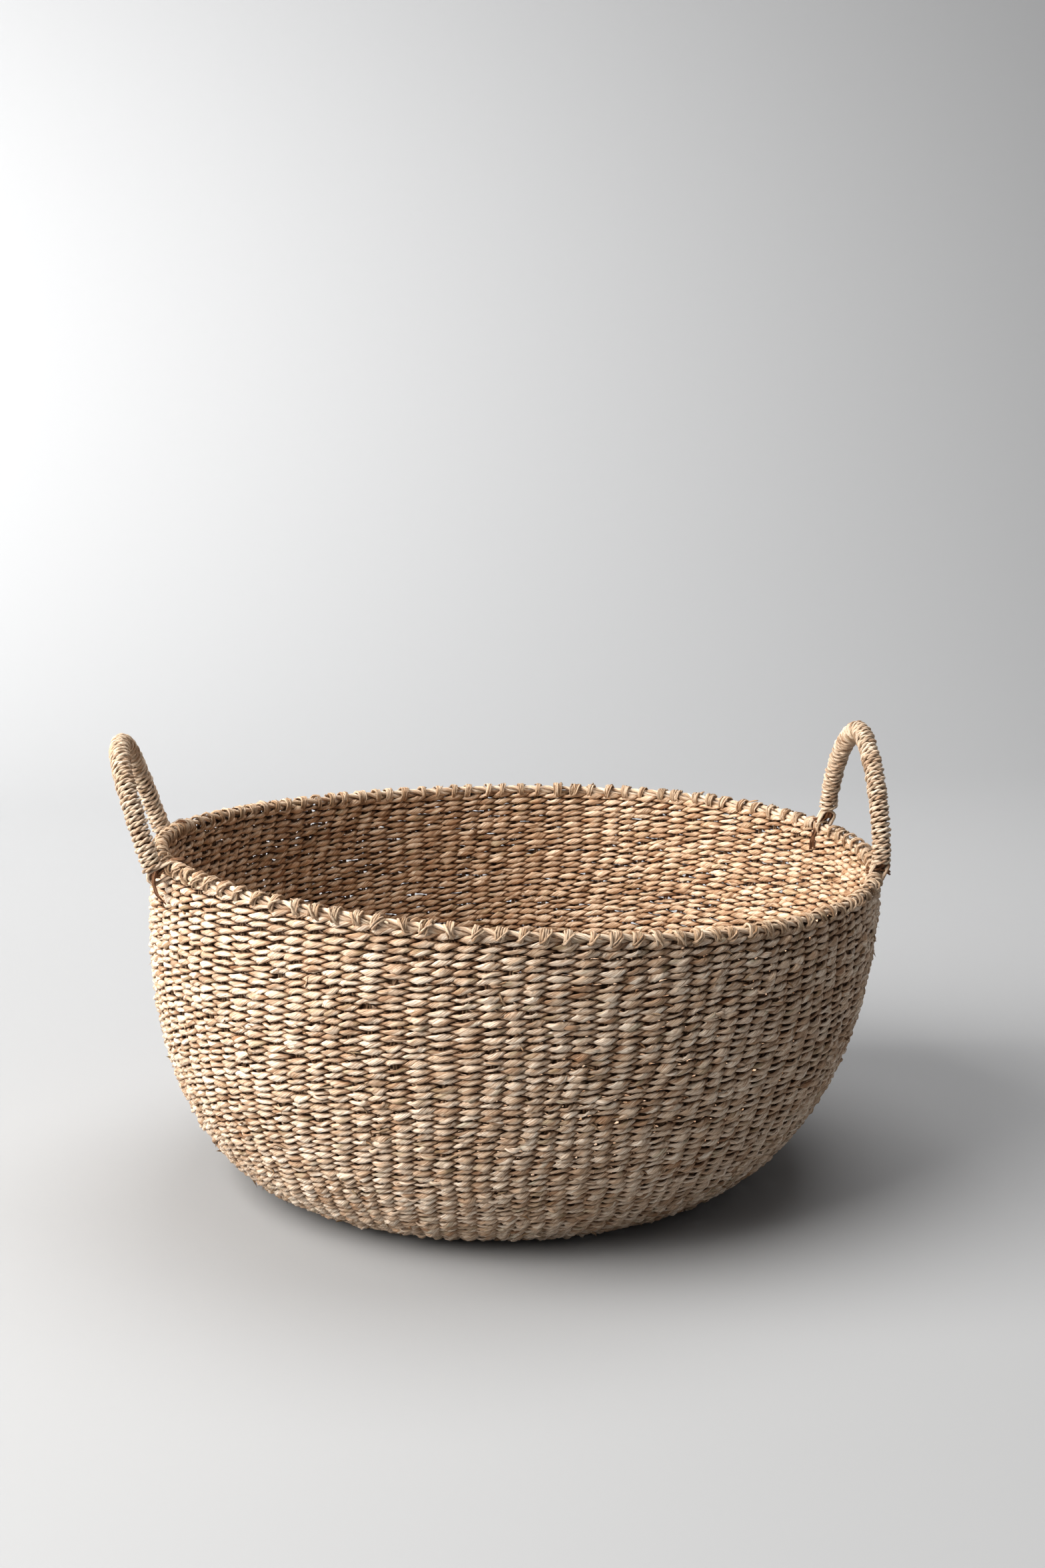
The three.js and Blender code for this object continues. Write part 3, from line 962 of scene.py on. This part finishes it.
# %% Core leaves
CORE_START = 1.0 * MM  # so that the core's end clears the rope when the handle swings
CLEAR_OF_ROPE = 5.3 * MM
CORE_OUTLINE = [(1.9, 0), (1.2, -1.2), (-0.2, -1.7), (-1.5, -0.9), (-1.6, 0.6), (-0.3, 1.5), (1.1, 1.3)]
core_section = section("core_section", CORE_OUTLINE)
CORE_LEAVES = 5
FOLDED_LEAVES = 9


def core_bundle(arch):
    """The leaves of a handle's core, with a slow twist."""
    run = np.linspace(CORE_START, arch.length - CORE_START, 70)
    paths = []
    for leaf in range(CORE_LEAVES):
        turn = 2 * math.pi * leaf / CORE_LEAVES + run / (16 * MM)
        paths.append((arch.around(run, 2.2 * MM, turn), 1.0, turn))
    return paths


def folded_ends(arch, sign, seed):
    """The core's own leaves, folded from its foot over the rope and cut off ragged."""
    source = np.random.default_rng(seed)
    foot_out, foot_up = arch.handle["stand_off"], arch.handle["foot"]
    t = np.linspace(0, 1, 9)
    paths = []
    for _ in range(FOLDED_LEAVES):
        reach = source.uniform(0.75, 1.15)
        rise = source.uniform(3.5, 6.5)
        out = foot_out + (-4.5 - foot_out) * t * reach + source.normal(0, 1.2)
        up = foot_up + 2.0 + (rise - foot_up - 2.0) * np.sin(t * math.pi * 0.62) - 1.5 * t
        across = np.clip(source.normal(0, 1.7) + source.normal(0, 2.2) * t, -3.4, 3.4)
        clear = np.maximum(1, CLEAR_OF_ROPE / MM / np.hypot(out, up)) * MM
        points = arch.place(out * clear, sign * arch.half + across * MM, up * clear)
        paths.append((points, source.uniform(0.4, 0.6), t * 3))
    return paths


# %% [markdown]
# ### Hitches
#
# A turn of the hitch is a long loop, drawn as two half circles: one round the rope and one round
# the foot of the core. Chance makes the turns cross and lie unevenly.

# %% Hitches
HITCH_OUTLINE = [(1.1, 0), (0.5, -1.0), (-0.5, -1.0), (-1.1, 0), (-0.5, 1.0), (0.5, 1.0)]
hitch_section = section("hitch_section", HITCH_OUTLINE)
HITCH_TURNS = 5


def hitch_loops(arch, sign, seed):
    """Turns round the rope and the foot of the core, side by side and not quite level."""
    source = np.random.default_rng(seed)
    foot_out = arch.handle["stand_off"] * MM
    foot_up = arch.handle["foot"] * MM + 2 * MM
    reach = math.hypot(foot_out, foot_up)
    toward = math.atan2(foot_up, foot_out)
    near = np.linspace(math.pi / 2, 3 * math.pi / 2, 9)
    far = np.linspace(-math.pi / 2, math.pi / 2, 9)
    paths = []
    for k in range(HITCH_TURNS):
        rope_side = ROPE_RADIUS + source.uniform(1.2, 2.0) * MM
        core_side = source.uniform(4.3, 4.9) * MM
        x = np.r_[rope_side * np.cos(near), reach + core_side * np.cos(far)]
        y = np.r_[rope_side * np.sin(near), core_side * np.sin(far)]
        once_round = np.linspace(0, 2 * math.pi, len(x), endpoint=False)
        cross = source.uniform(-2.5, 2.5) * MM * np.sin(once_round)
        out = x * math.cos(toward) - y * math.sin(toward) + source.normal(0, 0.2 * MM, len(x))
        up = x * math.sin(toward) + y * math.cos(toward) + source.normal(0, 0.2 * MM, len(x))
        across = sign * arch.half + (k - 2) * 1.7 * MM + cross
        paths.append((arch.place(out, across, up), source.uniform(0.8, 1.1), 0.0))
    return paths


for number, (side, arch) in enumerate(arches.items()):
    body = side + "_handle"
    leaves = core_bundle(arch) + folded_ends(arch, -1, 53 + number) + folded_ends(arch, 1, 63 + number)
    core = strands(side + "_core_bundle", core_section, leaves, closed=False, twist="MINIMUM")
    finish_piece(core, body, core_finish, [side + "_handle_core"])
    loops = hitch_loops(arch, -1, 51 + number) + hitch_loops(arch, 1, 61 + number)
    hitch = strands(side + "_foot_hitches", hitch_section, loops, closed=True, twist="MINIMUM")
    finish_piece(hitch, body, cord_finish)

# %% [markdown]
# ## Lashings and tails
#
# Beside each foot, three turns of fine cord tie down the rope. They belong to the basket. The
# ends of the core that are left hang down the wall: one end moves with the handle and the other
# stays on the wall. Each tail is one mesh, made where it lies.

# %% Lashings
FEET = [
    ("right_front", "right", -1),
    ("right_rear", "right", 1),
    ("left_rear", "left", -1),
    ("left_front", "left", 1),
]
LASH_TURNS = 3
LASH_START = 7 * MM  # from the foot
LASH_WIDTH = 4.5 * MM
lash_section = round_section("lash_section", 0.8, 6)


def lashing(foot_angle, away):
    """A few turns of fine cord round the rope, beside a foot."""
    place = np.linspace(0, 1, LASH_TURNS * 14)
    turn = 2 * math.pi * LASH_TURNS * place
    along = away * (LASH_START + LASH_WIDTH * place)
    reach = ROPE_RADIUS + 1.1 * MM
    points = rope_point(foot_angle + along / RIM_RADIUS, reach * np.cos(turn), reach * np.sin(turn))
    return [(points, 1.0, 0.0)]


# %% [markdown]
# ### Tails
#
# A tail follows a short line down the wall, given in the wall's own measures, with its strands
# fanned out beside each other and of uneven length.

# %% Tails
TAILS = {  # millimetres down the wall and out from its middle
    "right_front": [(-8, 4.0), (-7, 7.0), (-5, 9.0), (-3, 10.5)],
    "right_rear": [(-3, -3.5), (2, -6.0), (9, -6.5), (16, -4.5)],
    "left_front": [(0, 13.0), (7, 13.5), (14, 11.0), (19, 6.0)],
    "left_rear": [(0, 13.0), (7, 13.5), (14, 11.0), (19, 6.0)],
}
TAIL_STRANDS = 5


def tail_paths(name, foot_angle, source):
    """The loose ends of a core, from its foot down the wall."""
    line = np.array(TAILS[name])
    t = np.linspace(0, 1, 14)
    knee = np.linspace(0, 1, len(line))
    paths = []
    for k in range(TAIL_STRANDS):
        reach = source.uniform(0.7, 1.1)
        down = np.interp(t * reach, knee, line[:, 0]) * MM
        out = (np.interp(t * reach, knee, line[:, 1]) + source.normal(0, 0.6)) * MM
        beside = (k - 2) * 1.4 + source.normal(0, 1.0)
        across = (beside + source.uniform(2, 5) * t + 1.2 * np.sin(t * 4 + k)) * MM
        points = on_weave(FULL_RUN - down, foot_angle + across / RIM_RADIUS, out)
        paths.append((points, source.uniform(0.35, 0.6) * (1.05 - 0.35 * t), t * 3.0))
    return paths


tail_source = np.random.default_rng(71)
for name, side, away in FEET:
    handle = arches[side].handle
    foot_angle = handle["at"] + away * FOOT_SPREAD
    turns = lashing(foot_angle, away)
    lash = strands(name + "_lashing_turns", lash_section, turns, closed=False, twist="MINIMUM")
    finish_piece(lash, "basket", cord_finish, [name + "_foot_lashing"])
    paths = tail_paths(name, foot_angle, tail_source)
    tail = strands(name + "_tail_strands", core_section, paths, closed=False, twist="MINIMUM")
    tail.data.materials.append(core_finish)
    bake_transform(tail)
    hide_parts(name + "_core_tail")

# %% [markdown]
# ## Splices
#
# Where one leaf runs out and the next is laid in, the weave carries an extra twist of leaf on its
# face, on both sides of the wall. A splice is a short strand that rises out of a row, swells and
# sinks in again. Hundreds of them are one mesh, with few points each.

# %% Splices
def splices(count, side, seed):
    """Short extra strands on one face of the wall: side is 1 outside and -1 inside."""
    source = np.random.default_rng(seed)
    t = np.linspace(0, 1, 9)
    paths = []
    for _ in range(count):
        angle = source.uniform(0, 2 * math.pi)
        run = BASE_RADIUS + (source.integers(2, COURSES - 2) + 0.5) * COURSE
        reach = source.uniform(9, 17) * MM
        rise = source.uniform(-1, 2.6) * MM
        out = side * (1.2 + source.uniform(2.4, 3.6) * np.sin(math.pi * t)) * MM
        up = (t - 0.5) * rise + source.normal(0, 0.8) * MM
        points = on_weave(run + up, angle + (t - 0.5) * reach / RIM_RADIUS, out)
        girth = source.uniform(0.45, 0.85) * (0.45 + 0.55 * np.sin(math.pi * t))
        paths.append((points, girth, source.uniform(0, 3) + t * source.uniform(2, 5)))
    return paths


splice_paths = splices(260, 1, 91) + splices(110, -1, 92)
splice_piece = strands("splices", weft_section, splice_paths, closed=False, twist="MINIMUM")
mark_depth(splice_piece.data)
finish_piece(splice_piece, "basket", weft_finish)

# %% [markdown]
# ## Loose tips
#
# The cut ends of the leaves stick out as short tips. A tip is a thin flat strand that leaves the
# surface at a low angle, curls and narrows to a point. They are few enough to be made one by one
# by chance, and small enough to need only a handful of faces.

# %% Loose tips
tip_section = section("tip_section", [(0.2, 0), (0, -1.0), (-0.2, 0), (0, 1.0)])


def loose_tips(count, side, seed):
    """Thin tips on one face of the wall: side is 1 outside and -1 inside."""
    source = np.random.default_rng(seed)
    t = np.linspace(0, 1, 7)
    paths = []
    for _ in range(count):
        angle = source.uniform(0, 2 * math.pi)
        run = source.uniform(BASE_RADIUS + 15 * MM, FULL_RUN - 5 * MM)
        reach = source.uniform(3, 10) * MM * source.choice([-1, 1])
        rise = source.normal(0, 3.5) * MM
        lift = source.uniform(0.2, 2.6) * MM
        out = side * (2.2 * MM + 2.0 * MM * t + lift * t**2)
        points = on_weave(run + rise * t, angle + reach * np.sin(t * 1.4) / RIM_RADIUS, out)
        girth = source.uniform(0.5, 1.35) * (1.03 - t**2.2)
        paths.append((points, girth, source.uniform(0, 3) + t * source.uniform(-2.5, 2.5)))
    return paths


tips = loose_tips(520, 1, 81) + loose_tips(240, -1, 82)
tips_piece = strands("loose_leaf_tips", tip_section, tips, closed=False, twist="MINIMUM")
finish_piece(tips_piece, "basket", tip_finish)

# %% [markdown]
# ## Put the sections away
#
# The section curves have done their work. They were never part of the basket, so they go.

# %% Remove the sections
SECTIONS = [
    weft_section, stake_section, ply_section, knot_section, cord_section,
    core_section, hitch_section, lash_section, tip_section,
]
for shape in SECTIONS:
    bpy.data.objects.remove(shape)
print("sections removed:", len(SECTIONS))

# %% [markdown]
# ## Floor
#
# The basket stands on a roll of matt grey paper that runs along the floor and curves up behind it,
# as in a studio, so there is no line where floor and wall meet. It is one grid, bent: the part
# past a certain line is laid on a quarter circle and goes straight up from there.

# %% Paper sweep
paper = bpy.data.materials.new("paper")
paper.use_nodes = True
paper_shader = paper.node_tree.nodes["Principled BSDF"]
paper_shader.inputs["Base Color"].default_value = (0.342, 0.343, 0.346, 1)
paper_shader.inputs["Roughness"].default_value = 0.9

SWEEP_SIZE = 6
SWEEP_START = 1.4
SWEEP_RADIUS = 1.6
work = bmesh.new()
bmesh.ops.create_grid(work, x_segments=2, y_segments=240, size=SWEEP_SIZE)
for vert in work.verts:
    past = vert.co.y - SWEEP_START
    turn = min(max(past / SWEEP_RADIUS, 0), math.pi / 2)
    if past > 0:
        beyond = past - turn * SWEEP_RADIUS
        vert.co.y = SWEEP_START + SWEEP_RADIUS * math.sin(turn)
        vert.co.z = SWEEP_RADIUS * (1 - math.cos(turn)) + beyond
sweep_mesh = bpy.data.meshes.new("paper_sweep")
work.to_mesh(sweep_mesh)
work.free()
sweep_mesh.polygons.foreach_set("use_smooth", np.ones(len(sweep_mesh.polygons), bool))
sweep_mesh.materials.append(paper)
sweep = bpy.data.objects.new("paper_sweep", sweep_mesh)
bpy.context.collection.objects.link(sweep)
print("sweep faces:", len(sweep_mesh.polygons))

# %% [markdown]
# ## Light
#
# A large soft lamp stands close on the left, like a window, and gives the weave its light and dark
# sides: the left of the basket is nearly white, the right falls into shade, and inside it is the
# other way round. A weaker one hangs above, a narrow one lights the paper behind, and a dim world
# fills the shadows. The picture's gamma is set a little below one, for a crisper contrast.

# %% Lights
world = bpy.data.worlds.new("studio")
bpy.context.scene.world = world
world.use_nodes = True
world.node_tree.nodes["Background"].inputs["Color"].default_value = (0.90, 0.90, 0.92, 1)
world.node_tree.nodes["Background"].inputs["Strength"].default_value = 0.32


def area_light(name, place, aim, size, power, colour=(1.0, 1.0, 1.0)):
    """A square lamp at one point that faces another, in metres and watts."""
    data = bpy.data.lights.new(name, "AREA")
    data.shape = "SQUARE"
    data.size = size
    data.energy = power
    data.color = colour
    light = bpy.data.objects.new(name, data)
    bpy.context.collection.objects.link(light)
    light.location = place
    light.rotation_euler = (Vector(aim) - Vector(place)).to_track_quat("-Z", "Y").to_euler()
    return light


area_light("window", (-1.65, -0.5, 1.4), (0, 0, 0.15), 2.0, 116, (1.0, 0.99, 0.97))
area_light("overhead", (0.4, 0.5, 2.4), (0.3, 0, 0), 1.8, 45)
paper_light = area_light("paper_light", (-3.4, 0.9, 1.6), (0.8, 3.0, 0.75), 1.0, 84)
paper_light.data.spread = math.radians(80)
bpy.context.scene.view_settings.view_transform = "Standard"
bpy.context.scene.view_settings.gamma = 0.84
